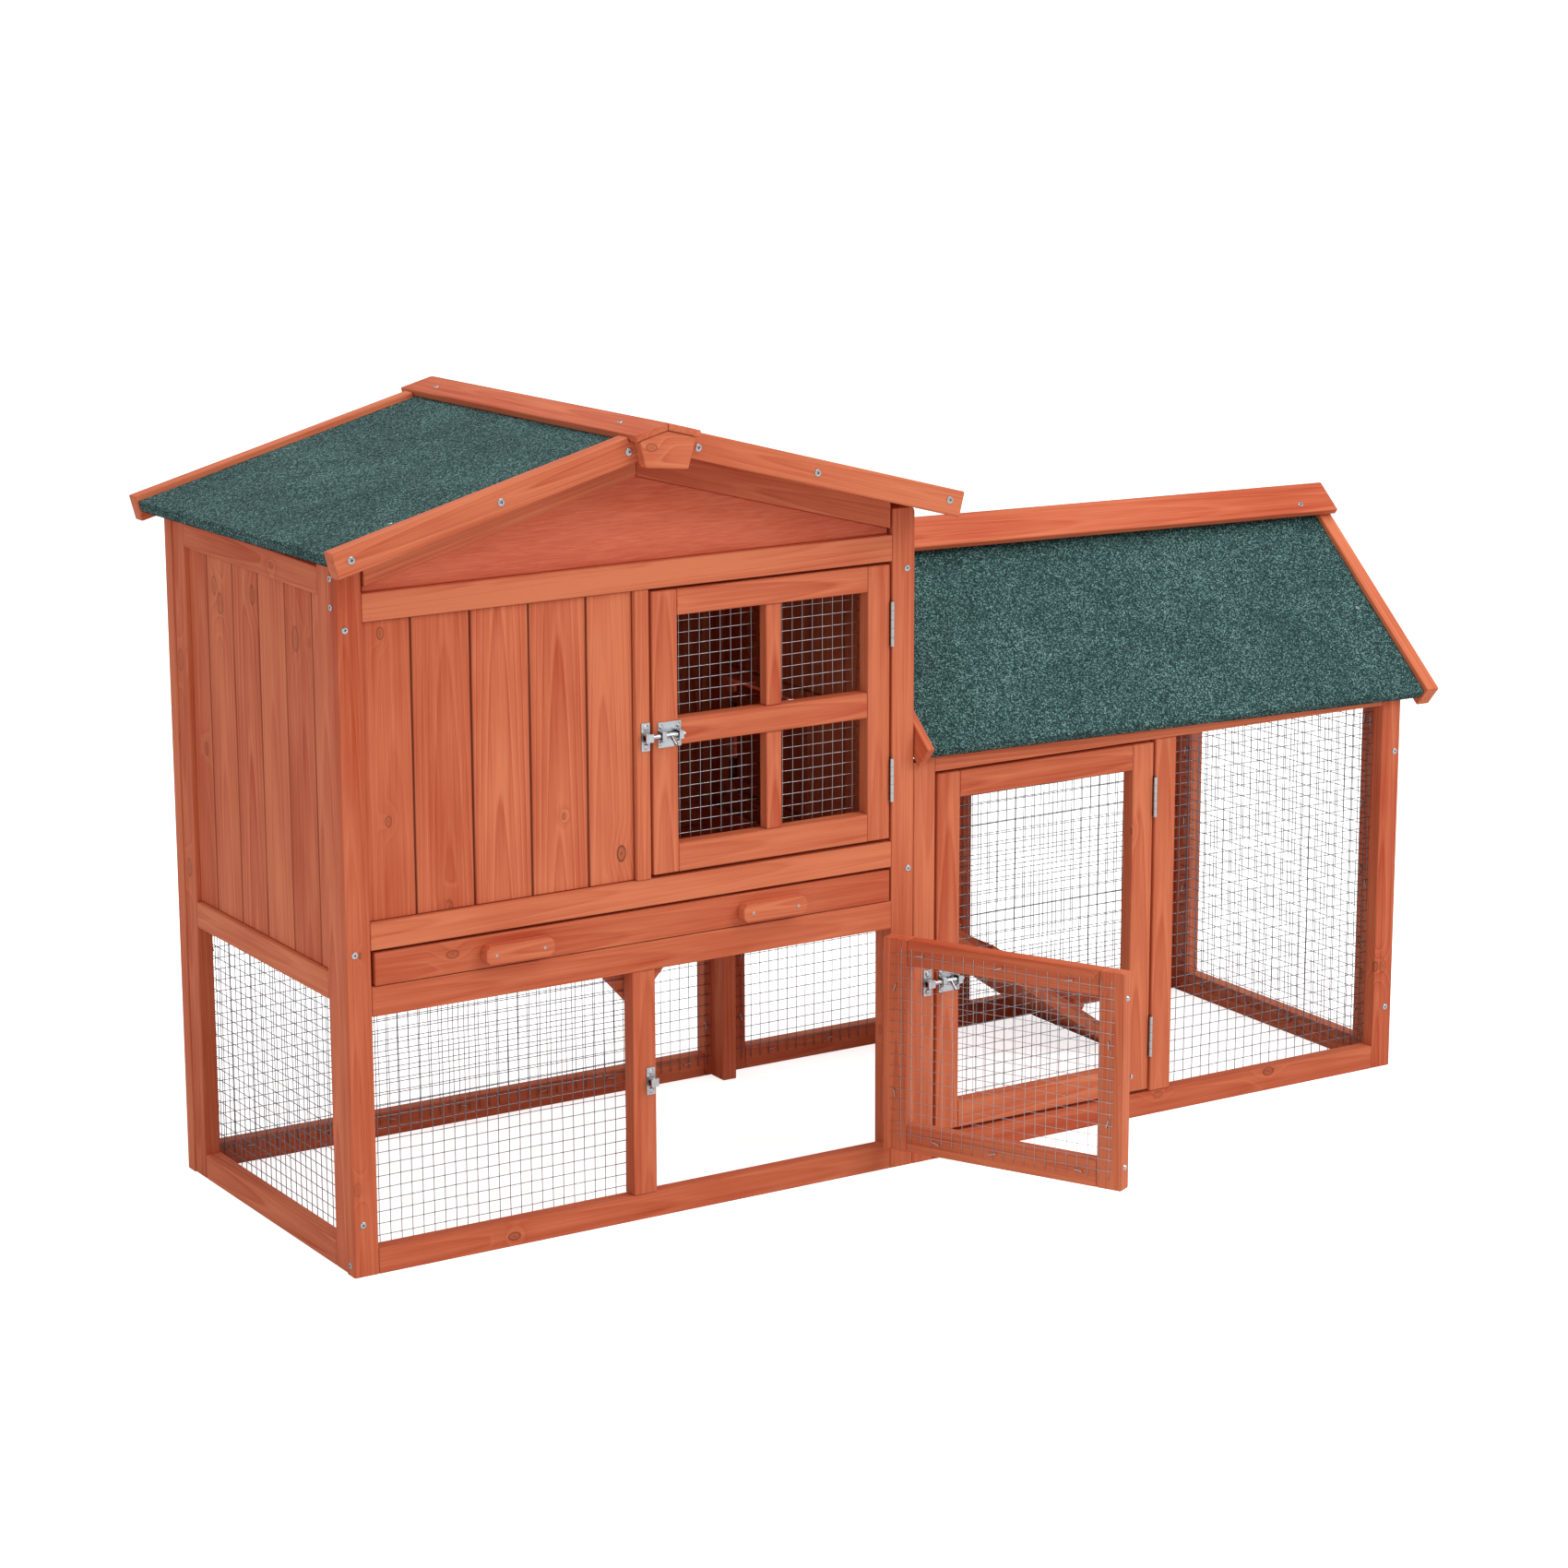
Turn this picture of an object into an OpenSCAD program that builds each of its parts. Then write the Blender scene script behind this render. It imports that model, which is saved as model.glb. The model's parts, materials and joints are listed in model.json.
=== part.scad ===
// Two-storey rabbit hutch with an attached wire run, three hinged doors with
// barrel bolts and a pull-out tray. Millimetres, +Z up, front of the hutch
// facing -Y, house on the left (-X), run on the right (+X).

/* [Timber] */
// Face width of the frame battens
batten = 28; // [24:0.5:34]
// Face width of the house's right-hand and rear posts and of the upper rails
wide_batten = 28.5; // [24:0.5:34]
// Thickness of the frame battens
stock = 18; // [15:0.5:22]
// Thickness of the match-boards
board_t = 10; // [6:0.5:12]
// Recess of the boards behind the front battens
recess = 5.5; // [3:0.5:8]
// Gap between neighbouring match-boards
seam = 0.6; // [0.3:0.1:2]
// Thickness of the plywood in the gables
ply_t = 3.5; // [3:0.5:6]

/* [House] */
// Width of the house over its corner posts
house_w = 684; // [600:1:800]
// Depth of house and run over the front and back panels
depth = 418; // [380:1:460]
// Height of the corner posts
post_h = 738; // [700:1:780]
// Centre line of the ridge, from the house's left side
ridge_x = 342; // [300:1:380]
// Height of the felt at the ridge
felt_top = 853; // [830:1:880]
// Slope of the house roof
house_slope = 15; // [12:1:20]
// Length of each house slope, ridge to eave
house_l = 382.2; // [360:0.1:400]
// How far the house roof leans down towards the back
roof_pitch = 1.24; // [0:0.01:2]
// How far the house roof leans down towards the right
roof_roll = 0.37; // [0:0.01:1]

/* [Run] */
// Right-hand end of the run
run_end = 1369.4; // [1200:0.1:1500]
// Slope of the run roof
run_slope = 40; // [35:1:45]
// Height of the felt at the run's ridge
run_felt_top = 650.3; // [630:0.1:680]
// Level distance from the run's ridge to its eaves
run_reach = 233.7; // [225:0.1:240]
// How far the run roof leans down towards the right
run_roll = 1.15; // [0:0.01:2]

/* [Roofs] */
// Thickness of the roof boards
deck_t = 10; // [8:1:15]
// Thickness of the felt
felt_t = 2; // [1:0.5:4]

/* [Doors] */
// How far the lower door stands open
lower_open = 117; // [0:1:160]
// Distance of the hinge axes in front of the door faces
pin_out = 2.2; // [2:0.1:3]
// Radius of the hinge knuckles
knuckle_r = 2.2; // [1.8:0.1:2.6]
// Radius of the barrel bolts
bolt_r = 2.5; // [2:0.1:3]

/* [Ramp] */
// Slope of the ramp
ramp_a = 35.3; // [30:0.1:45]
// Number of treads
treads = 7; // [4:1:10]
// Spacing of the treads along the ground
tread_step = 60; // [40:1:80]

/* [Wire mesh] */
// Spacing of the welded mesh
pitch = 12.7; // [10:0.1:26]
// Diameter of the mesh wire
wire = 0.95; // [0.6:0.05:2]
// How far the mesh laps onto the battens around it
lap = 14; // [8:1:18]

/* [Hidden] */
$fn = 24;

// hairline between neighbouring pieces of one frame
g = 0.06;
// clearance between pieces that lie against each other
near = 0.1;
// depth by which joined shapes run into each other
eps = 0.05;

// the placed origin: the middle of the footprint, from the house's corner
cx = 690.7;
cy = 91.55;

// planes and levels, bottom and top of each
back_y = depth - stock;
mesh_y0 = stock + 0.2;
back_mesh_y = back_y - 2.2;
sill = [0, 28];
tray_rail = [274.6, 305.8];
mid_rail = [344, 372.7];
top_rail = [681, 709.9];
side_mid = [286.5, 315];
side_top = [704, 733];
run_head = 443;
run_side_head = [445, 473.5];

// house front, left to right
jamb = [338, 355];
mid_post = [330, 358];
right_post = house_w - wide_batten;
front_seams = [batten, 83.3, 150, 216.7, 283.3, jamb[0]];

// house sides: left face of the left panel, left face of the right panel
left_x = 1.5;
right_x = 664.5;
side_in = [stock + batten, back_y - batten];
side_seams = [side_in[0], 71, 135, 199, 262.5, 326, side_in[1]];
left_board_x = 7;

// pop-hole in the right side, up to its post and header
pop_post = [185, 199];
pop_head = [490, 504];

// run front, left to right
run_x = house_w + 0.2;
run_left = run_x + batten;
run_right = run_end - 27.5;
run_post = [1012, 1040.8];
run_back_post = [1009, 1037];
run_side_x = [run_end - 19.5, run_end - 1.5];

// doors: left, right, bottom, top; then left stile, right stile, bottom rail, top rail
upper_door = [358, 652.4, 376.5, 678];
upper_bars = [30.5, 27.9, 30.5, 27.5];
lower_door = [361, 652.4, 31, 271.5];
lower_bars = [29.5, 29.5, 30, 28.5];
run_door = [715.2, 1008.8, 31.5, 440];
run_bars = [30.3, 28.4, 30.5, 29.4];

// upright axis of the house's doors and of the run's door
axis_y = -pin_out;
hx = 654;
rx = 1010.4;
upper_hinges = [[418, 466], [589, 638]];
lower_hinges = [[55, 103], [200, 248]];
run_hinges = [[71, 118.7], [353.7, 400]];

// bolts: right edge of the keep, height of the axis
upper_bolt_at = [354, 526];
lower_bolt_at = [356, 153];
run_bolt_at = [708, 206];
bolt_y = -5.4;
// how far the lower door's bolt is drawn back
drawn = 5;

// tray: level of its floor, and its sides
tray_z = 306.4;
tray_x = [34, 650];
tray_y = [12, 392];
tray_t = 6;

// slopes and the run of each roof
ta = tan(house_slope);
ca = cos(house_slope);
sa = sin(house_slope);
tb = tan(run_slope);
cb = cos(run_slope);
sb = sin(run_slope);
ry = depth / 2;
// the bargeboards stand this far above the felt, and reach this far below it
house_barge = [-22.5, 5.5];
run_barge = [-23, 4.9];
run_l = (run_reach - run_barge[1] * sb) / cb;
// front and back edge of the house roof, left and right edge of the run roof
house_eaves = [-33.8, 425.3];
// outer faces of the house's front and back bargeboards
barge_y = [-52, 443.5];
// the house roof leans about this line across the front gable
lean_y = 12.5;
cap_t = 7.5;
run_eaves = [696.7, 1388.8];

wood = [0.76, 0.40, 0.27];
inner_wood = [0.70, 0.35, 0.23];
felt_c = [0.22, 0.36, 0.34];
zinc = [0.72, 0.74, 0.76];

// ---- helpers -------------------------------------------------------------

// everything is laid out from the house's front left bottom corner
module place() translate([-cx, -cy, 0]) children();

module box(x0, x1, y0, y1, z0, z1)
  translate([x0, y0, z0]) cube([x1 - x0, y1 - y0, z1 - z0]);

// outline in X-Z pushed along Y
module along_y(y0, y1, pts)
  translate([0, y1, 0]) rotate([90, 0, 0]) linear_extrude(y1 - y0) polygon(pts);

// outline in Y-Z pushed along X
module along_x(x0, x1, pts)
  translate([x0, 0, 0]) rotate([90, 0, 90]) linear_extrude(x1 - x0) polygon(pts);

// a point on the house roof: s side, u down the slope, v off the felt
function hp(s, u, v) = [ridge_x + s * (u * ca + v * sa), felt_top - u * sa + v * ca];
// the same on the run roof, in Y-Z
function rp(s, u, v) = [ry + s * (u * cb + v * sb), run_felt_top - u * sb + v * cb];
// u of the ridge line at height v off the felt, a hair short of the other slope
function hu(v) = near - v * ta;
function ru(v) = near - v * tb;
// undersides of the two roofs
roof_t = deck_t + felt_t;
function h_under(x) = felt_top - roof_t / ca - ta * abs(x - ridge_x);
function r_under(y) = run_felt_top - roof_t / cb - tb * abs(y - ry);
// the house roof's underside once it leans
function leaned_under(x, y) =
  h_under(x) - (x - ridge_x) * tan(roof_roll) - (y - lean_y) * tan(roof_pitch) - 0.15;

module leaned() translate([ridge_x, lean_y, 800]) rotate([-roof_pitch, roof_roll, 0])
  translate([-ridge_x, -lean_y, -800]) children();

// the run roof leans about a line across its right-hand bargeboard
module run_leaned() translate([1407, 0, 520]) rotate([0, run_roll, 0])
  translate([-1407, 0, -520]) children();

// match-boards between the given seams, standing across Y or across X
module boards_y(xs, y0, z0, z1)
  for (i = [0 : len(xs) - 2])
    box(xs[i] + seam / 2, xs[i + 1] - seam / 2, y0, y0 + board_t, z0 + g, z1 - g);

module boards_x(ys, x0, z0, z1)
  for (i = [0 : len(ys) - 2])
    box(x0, x0 + board_t, ys[i] + seam / 2, ys[i + 1] - seam / 2, z0 + g, z1 - g);

// welded mesh lying across Y: uprights in front, level wires behind; one
// upright would stand at xa and one level wire lie at za
module mesh_y(x0, x1, z0, z1, y, xa, za) {
  i0 = ceil((x0 + 1 - xa) / pitch); i1 = floor((x1 - 1 - xa) / pitch);
  k0 = ceil((z0 + 1 - za) / pitch); k1 = floor((z1 - 1 - za) / pitch);
  for (i = [i0 : i1])
    translate([xa + i * pitch, y + wire / 2, z0]) cylinder(d = wire, h = z1 - z0);
  for (k = [k0 : k1])
    translate([x0, y + wire * 1.5 + eps, za + k * pitch])
      rotate([0, 90, 0]) cylinder(d = wire, h = x1 - x0);
}

// welded mesh lying across X, uprights at the lower x
module mesh_x(y0, y1, z0, z1, x, ya, za) {
  i0 = ceil((y0 + 1 - ya) / pitch); i1 = floor((y1 - 1 - ya) / pitch);
  k0 = ceil((z0 + 1 - za) / pitch); k1 = floor((z1 - 1 - za) / pitch);
  for (i = [i0 : i1])
    translate([x + wire / 2, ya + i * pitch, z0]) cylinder(d = wire, h = z1 - z0);
  for (k = [k0 : k1])
    translate([x + wire * 1.5 + eps, y0, za + k * pitch])
      rotate([-90, 0, 0]) cylinder(d = wire, h = y1 - y0);
}

// screw head standing on a face that looks along -Y or -X
module head(r = 3.6) cylinder(r1 = r, r2 = r * 0.6, h = 1.4);
module head_y(x, y, z, r = 3.6) translate([x, y, z]) rotate([90, 0, 0]) head(r);
module head_x(x, y, z) translate([x, y, z]) rotate([0, -90, 0]) head();

// ---- hinges: five knuckles, three on the fixed leaf and two on the door's ----
leaf_out = 0.7;
leaf_t = 0.75;
leaf_w = 14;
knuckle_gap = 0.3;

// the leaf stands beside the axis at x, on side s, with the given knuckles
module leaf(x, z, s, knuckles) {
  xl = s > 0 ? x + leaf_out : x - leaf_out - leaf_t;
  h = (z[1] - z[0]) / 5;
  box(xl, xl + leaf_t, 0.3, leaf_w, z[0], z[1]);
  for (i = knuckles) {
    zk = z[0] + h * i + knuckle_gap / 2;
    box(xl, xl + leaf_t, axis_y, 0.31, zk, zk + h - knuckle_gap);
    translate([x, axis_y, zk]) cylinder(r = knuckle_r, h = h - knuckle_gap);
  }
}
module fixed_leaf(x, z) leaf(x, z, 1, [0, 2, 4]);
module door_leaf(x, z) leaf(x, z, -1, [1, 3]);

// ---- barrel bolts, at = right edge of the keep and height of the axis ----------
plate_t = 1;
guide_w = 5;
guide_x = [10.5, 31];
bore_r = 3;

// raised loop for the bolt between x0 and x1
module loop(x0, x1, z) box(x0, x1, -9.6, eps - plate_t, z - 4.4, z + 4.4);
module bore(x, z) translate([x, bolt_y, z]) rotate([0, 90, 0]) cylinder(r = bore_r, h = 80);
module small_head(x, z, r)
  translate([x, eps - plate_t, z]) rotate([90, 0, 0]) cylinder(r1 = r, r2 = r * 0.62, h = 1.2);

module keep(at) {
  x = at[0]; z = at[1];
  difference() {
    union() {
      box(x - 10, x, -plate_t, 0, z - 15, z + 15);
      loop(x - 9, x, z);
    }
    bore(x - 40, z);
  }
  for (s = [-1, 1]) small_head(x - 5, z + s * 10, 3.2);
}
module bolt_plate(at) {
  x = at[0]; z = at[1];
  difference() {
    union() {
      box(x + 10, x + 37.5, -plate_t, 0, z - 13.5, z + 13.5);
      for (a = guide_x) loop(x + a, x + a + guide_w, z);
    }
    bore(x, z);
  }
  for (a = [13, 34]) for (s = [-1, 1]) small_head(x + a, z + s * 9, 2.6);
}
// the rod ends 1 mm short of the keep; its knob leans out between the guides
module bolt_rod(at) {
  translate([at[0] + 1, bolt_y, at[1]]) rotate([0, 90, 0]) cylinder(r = bolt_r, h = 38);
  translate([at[0] + 23, bolt_y, at[1]]) rotate([130, 0, 0]) cylinder(r = 2, h = 14);
}

// ---- doors, hinged on their right edges: d and w as listed at the top --------
module door_frame(d, w) {
  box(d[0], d[0] + w[0], 0, stock, d[2], d[3]);
  box(d[1] - w[1], d[1], 0, stock, d[2], d[3]);
  box(d[0] + w[0] + g, d[1] - w[1] - g, 0, stock, d[2], d[2] + w[2]);
  box(d[0] + w[0] + g, d[1] - w[1] - g, 0, stock, d[3] - w[3], d[3]);
}
module door_mesh(d, w, xa, za, over = lap)
  mesh_y(d[0] + w[0] - over, d[1] - w[1] + over, d[2] + w[2] - over, d[3] - w[3] + over,
    mesh_y0, xa, za);

// the lower door is laid out shut and swung to its open rest
module swung()
  translate([hx, axis_y, 0]) rotate([0, 0, lower_open]) translate([-hx, -axis_y, 0]) children();

// ---- house ---------------------------------------------------------------
// outer corners of the posts are cut back under the roof
post_cut = 5;
post_flat = 1.5;
module house_front_posts() color(wood) place() {
  along_y(0, stock, [[0, 0], [batten, 0], [batten, post_h], [post_cut, post_h],
    [post_flat, post_h - post_flat], [0, post_h - post_cut]]);
  along_y(0, stock, [[right_post, 0], [house_w, 0], [house_w, post_h - post_cut],
    [house_w - post_flat, post_h - post_flat], [house_w - post_cut, post_h],
    [right_post, post_h]]);
}
module house_front_rails() color(wood) place()
  for (z = [sill, tray_rail, mid_rail, top_rail])
    box(batten + g, right_post - g, 0, stock, z[0], z[1]);
module house_front_boards() color(wood) place()
  boards_y(front_seams, recess, mid_rail[1], top_rail[0]);
module house_door_jamb() color(wood) place()
  box(jamb[0] + g, jamb[1], 0, stock, mid_rail[1] + g, top_rail[0] - g);
module house_middle_post() color(wood) place()
  box(mid_post[0], mid_post[1], 0, stock, sill[1] + g, tray_rail[0] - g);
// block behind the tray rail that widens the middle post's head
module house_corner_gusset() color(inner_wood) place()
  along_y(20.6, 29.6, [[301.5, 300], [301.5, 274.6], [337, 235], [351, 235], [386.5, 274.6],
    [386.5, 300]]);

// the gables: ply behind two rafters, whose lower edge is gable_in
function gable_in(x) = 800 - ta * abs(x - ridge_x);
gable_x = [31.2, 652.8];
module gable_ply(y) along_y(y, y + ply_t, [[gable_x[0], top_rail[1] + near],
  [gable_x[1], top_rail[1] + near], [gable_x[1], gable_in(gable_x[1]) - near],
  [ridge_x, gable_in(ridge_x) - near], [gable_x[0], gable_in(gable_x[0]) - near]]);
module house_gable_panels() color(wood) place() {
  gable_ply(6);
  gable_ply(back_y + stock - 6 - ply_t);
}
module gable_rafters(y0, y1)
  for (s = [-1, 1]) {
    a = ridge_x + s * near;
    b = ridge_x + s * 311;
    along_y(y0, y1, [[a, gable_in(a)], [b, gable_in(b)], [b, leaned_under(b, y1)],
      [a, leaned_under(a, y1)]]);
  }
module house_gable_rafters() color(wood) place() {
  gable_rafters(0, stock);
  gable_rafters(back_y, depth);
}
module house_front_mesh() color(zinc) place()
  mesh_y(22, mid_post[0] + lap, sill[1] - lap, tray_rail[0] + lap, mesh_y0, 38.9, 34.4);

module side_panel(x0) {
  x1 = x0 + stock;
  box(x0, x1, stock + g, side_in[0], 0, post_h);
  box(x0, x1, side_in[1], back_y - g, 0, post_h);
  for (z = [side_mid, side_top]) box(x0, x1, side_in[0] + g, side_in[1] - g, z[0], z[1]);
}
module house_left_frame() color(wood) place() {
  side_panel(left_x);
  box(left_x, left_x + stock, side_in[0] + g, side_in[1] - g, sill[0], sill[1]);
}
module house_left_boards() color(wood) place()
  boards_x(side_seams, left_board_x, side_mid[1], side_top[0]);
module house_left_mesh() color(zinc) place()
  mesh_x(side_in[0] - lap, side_in[1] + lap, sill[1] - lap, side_mid[0] + lap,
    left_x + stock + 0.2, 52, 34.4);

module house_back_frame() color(wood) place() {
  for (x = [0, right_post]) box(x, x + wide_batten, back_y, depth, 0, post_h - 1);
  for (z = [sill, side_mid, top_rail])
    box(wide_batten + g, right_post - g, back_y, depth, z[0], z[1]);
}
module house_back_boards() color(wood) place()
  boards_y([wide_batten, 91, 157, 223, 289, 355, 421, 487, 553, 619, right_post],
    back_y + 2.5, side_mid[1], top_rail[0]);
module house_back_mesh() color(zinc) place()
  mesh_y(22, 662, sill[1] - lap, side_mid[0] + lap, back_mesh_y, 594.9, 37);

module house_right_frame() color(wood) place() {
  side_panel(right_x);
  box(right_x, right_x + stock, pop_post[0], pop_post[1], side_mid[1] + g, pop_head[1]);
  box(right_x, right_x + stock, pop_post[1] + g, side_in[1] - g, pop_head[0], pop_head[1]);
}
module house_right_boards() color(wood) place() {
  boards_x([side_in[0], 115, pop_post[0]], right_x + 3.5, side_mid[1], pop_head[1]);
  boards_x([side_in[0], 115, pop_post[0], 250, 311, side_in[1]], right_x + 3.5, pop_head[1],
    side_top[0]);
  boards_x([pop_post[1], side_in[1]], right_x + 3.5, side_mid[1], pop_door_z[0] + 10);
}
// door that shuts the pop-hole from the run's side, hinged on the rear stile; laid out like
// the front doors, with its hinge at 0 and its outer face at 0
pop_t = 6;
pop_door_x = [-177.4, -119, -60, -1.6];
pop_door_z = [343, 478];
pop_hinges = [[365, 390], [435, 460]];
module at_pop_hinge()
  translate([right_x + stock + pop_t + 0.5, side_in[1] - 1.6, 0]) rotate([0, 0, 90]) children();
module pop_door_board() color(inner_wood) place() at_pop_hinge() {
  for (i = [0 : 2])
    box(pop_door_x[i], pop_door_x[i + 1] - (i < 2 ? seam : 0), 0, pop_t,
      pop_door_z[0], pop_door_z[1]);
  for (z = [356, 458]) box(-165, -5.4, pop_t + g, pop_t + 8, z, z + 13);
}
module pop_door_hinges() color(zinc) place() at_pop_hinge()
  for (z = pop_hinges) door_leaf(0, z);

// ledges that the tray slides on; the left one is fixed over the mesh
module tray_runners() color(inner_wood) place() {
  box(22.3, 48, 20.5, back_mesh_y - 0.3, 288.2, tray_z - 0.4);
  box(636, right_x - g, 20.5, back_mesh_y - 0.3, 288.2, tray_z - 0.4);
}

// ---- house roof ----------------------------------------------------------
// boards and felt end inside the bargeboards' end line
module house_roof_boards() color(inner_wood) place() leaned() for (s = [-1, 1])
  along_y(house_eaves[0], house_eaves[1], [hp(s, hu(-roof_t), -roof_t),
    hp(s, house_l - 4, -roof_t), hp(s, house_l - 4, -felt_t), hp(s, hu(-felt_t), -felt_t)]);
// each sheet is turned down over the boards' lower edge
module house_roof_felt() color(felt_c) place() leaned() for (s = [-1, 1])
  along_y(house_eaves[0], house_eaves[1], [hp(s, hu(-felt_t), -felt_t),
    hp(s, house_l - 4, -felt_t), hp(s, house_l - 4, -roof_t), hp(s, house_l - 2, -roof_t),
    hp(s, house_l - 2, 0), hp(s, hu(0), 0)]);
// the boards are stepped down to the felt where the ridge cap crosses them
module house_bargeboards() color(wood) place() leaned()
  for (y = [barge_y[0], barge_y[1] - stock]) for (s = [-1, 1])
    along_y(y, y + stock, [hp(s, hu(house_barge[0]), house_barge[0]),
      hp(s, house_l, house_barge[0]), hp(s, house_l, house_barge[1]),
      hp(s, 38.6, house_barge[1]), hp(s, 38.6, -0.2), hp(s, hu(-0.2), -0.2)]);
module house_ridge_cap() color(wood) place() leaned() for (s = [-1, 1])
  along_y(-66, 455.5, [hp(s, hu(near), near), hp(s, 38, near), hp(s, 38, near + cap_t),
    hp(s, hu(near + cap_t), near + cap_t)]);
// shields nailed under the cap's ends, a little askew
module finial(y0, y1) along_y(y0, y1, [[316, 817], [365.5, 812],
  [375, felt_top - 33 * ta - 0.3], [ridge_x, felt_top - 0.3], [309, felt_top - 33 * ta - 0.3]]);
module house_finials() color(wood) place() leaned() {
  finial(-65, barge_y[0] - 0.2);
  finial(barge_y[1] + 0.2, 455.3);
}

// ---- run -----------------------------------------------------------------
// a piece of the front or back panel, cut to the slope and lean of the roof above it
module sloped(x0, x1, y0, z0) difference() {
  y1 = y0 + stock;
  out = [y0 - 60, y1 + 60];
  along_x(x0, x1, [[y0, z0], [y1, z0], [y1, r_under(y1) + 25], [y0, r_under(y0) + 25]]);
  run_leaned() along_x(x0 - 60, x1 + 60, [[out[0], r_under(out[0]) - near],
    [out[1], r_under(out[1]) - near], [out[1], r_under(out[1]) + 150],
    [out[0], r_under(out[0]) + 150]]);
}
// the left post stops under the bargeboard on its outer half
module run_long_panel(y0, post) {
  box(run_x, run_left, y0, y0 + stock, 0, 456.5);
  sloped(run_eaves[0], run_left, y0, 440 - eps);
  sloped(run_right, run_end, y0, 0);
  sloped(run_left + g, run_right - g, y0, run_head);
  box(run_left + g, run_right - g, y0, y0 + stock, sill[0], sill[1]);
  box(post[0], post[1], y0, y0 + stock, sill[1] + g, run_head - g);
}
module run_front_frame() color(wood) place() run_long_panel(0, run_post);
module run_back_frame() color(wood) place() run_long_panel(back_y, run_back_post);
module run_front_mesh() color(zinc) place()
  mesh_y(run_post[1] - lap, run_side_x[0] - 3, sill[1] - lap, run_head + lap, mesh_y0,
    1061.6, 38.3);
module run_back_mesh() color(zinc) place()
  mesh_y(run_left - lap, run_side_x[0] - 3, sill[1] - lap, run_head + lap, back_mesh_y,
    719.2, 39.9);

// the run's right end: a framed panel with a small gable on it
gable_foot = run_side_head[1] + near;
gable_rise = r_under(ry) - 38;
module run_right_frame() color(wood) place() {
  x0 = run_side_x[0]; x1 = run_side_x[1];
  box(x0, x1, stock + g, side_in[0], 0, run_side_head[0] - g);
  box(x0, x1, side_in[1], back_y - g, 0, run_side_head[0] - g);
  box(x0, x1, side_in[0] + g, side_in[1] - g, sill[0], sill[1]);
  box(x0, x1, stock + g, back_y - g, run_side_head[0], run_side_head[1]);
  for (s = [-1, 1]) {
    a = ry + s * near;
    b = ry + s * 190.9;
    c = ry + s * (gable_rise - gable_foot) / tb;
    along_x(x0, x1, [[a, gable_rise - near * tb], [c, gable_foot], [b, gable_foot],
      [b, r_under(b) - near], [a, r_under(a) - near]]);
  }
}
module run_right_mesh() color(zinc) place()
  mesh_x(side_in[0] - lap, side_in[1] + lap, sill[1] - lap, run_side_head[0] + lap,
    run_side_x[0] - 2.2, 47, 38.3);
module run_right_gable() color(inner_wood) place() {
  h = gable_rise - 0.3;
  w = (h - gable_foot) / tb;
  along_x(run_side_x[0] + 7.5, run_side_x[0] + 7.5 + ply_t,
    [[ry - w, gable_foot], [ry + w, gable_foot], [ry, h]]);
}

module run_roof_boards() color(inner_wood) place() run_leaned() for (s = [-1, 1])
  along_x(run_eaves[0], run_eaves[1], [rp(s, ru(-roof_t), -roof_t), rp(s, run_l - 4, -roof_t),
    rp(s, run_l - 4, -felt_t), rp(s, ru(-felt_t), -felt_t)]);
module run_roof_felt() color(felt_c) place() run_leaned() for (s = [-1, 1])
  along_x(run_eaves[0], run_eaves[1], [rp(s, ru(-felt_t), -felt_t), rp(s, run_l - 4, -felt_t),
    rp(s, run_l - 4, -roof_t), rp(s, run_l - 2, -roof_t), rp(s, run_l - 2, 0), rp(s, ru(0), 0)]);
module run_bargeboards() color(wood) place() run_leaned()
  for (x = [[686.4, 696.5], [1389, 1407]]) for (s = [-1, 1])
    along_x(x[0], x[1], [rp(s, ru(run_barge[0]), run_barge[0]), rp(s, run_l, run_barge[0]),
      rp(s, run_l, run_barge[1]), rp(s, ru(run_barge[1]), run_barge[1])]);
// the cap's boards are chamfered underneath along their lower edges
module run_ridge_cap() color(wood) place() run_leaned() for (s = [-1, 1])
  along_x(686.4, 1409, [rp(s, ru(5.1), 5.1), rp(s, 24, 5.1), rp(s, 30.5, 9.5),
    rp(s, 30.5, 17), rp(s, ru(17), 17)]);

// ---- ramp: from the ground up to the pop-hole's sill ---------------------------
ramp_x = [684.4, 1128.8];
ramp_y = [214, 394];
ramp_rise = (ramp_x[1] - ramp_x[0]) * tan(ramp_a);
ramp_v = 21.8;
module ramp_board() color(inner_wood) place()
  along_y(ramp_y[0], ramp_y[1], [[ramp_x[1], near], [ramp_x[0], near + ramp_rise],
    [ramp_x[0], near + ramp_rise + ramp_v], [ramp_x[1], near + ramp_v]]);
module ramp_treads() color(inner_wood) place() for (i = [1 : treads])
  translate([ramp_x[1] - i * tread_step, ramp_y[0] + 6,
      near + ramp_v + i * tread_step * tan(ramp_a)])
    rotate([0, ramp_a, 0]) translate([-9, 0, eps]) cube([18, 168, 7]);

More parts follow.
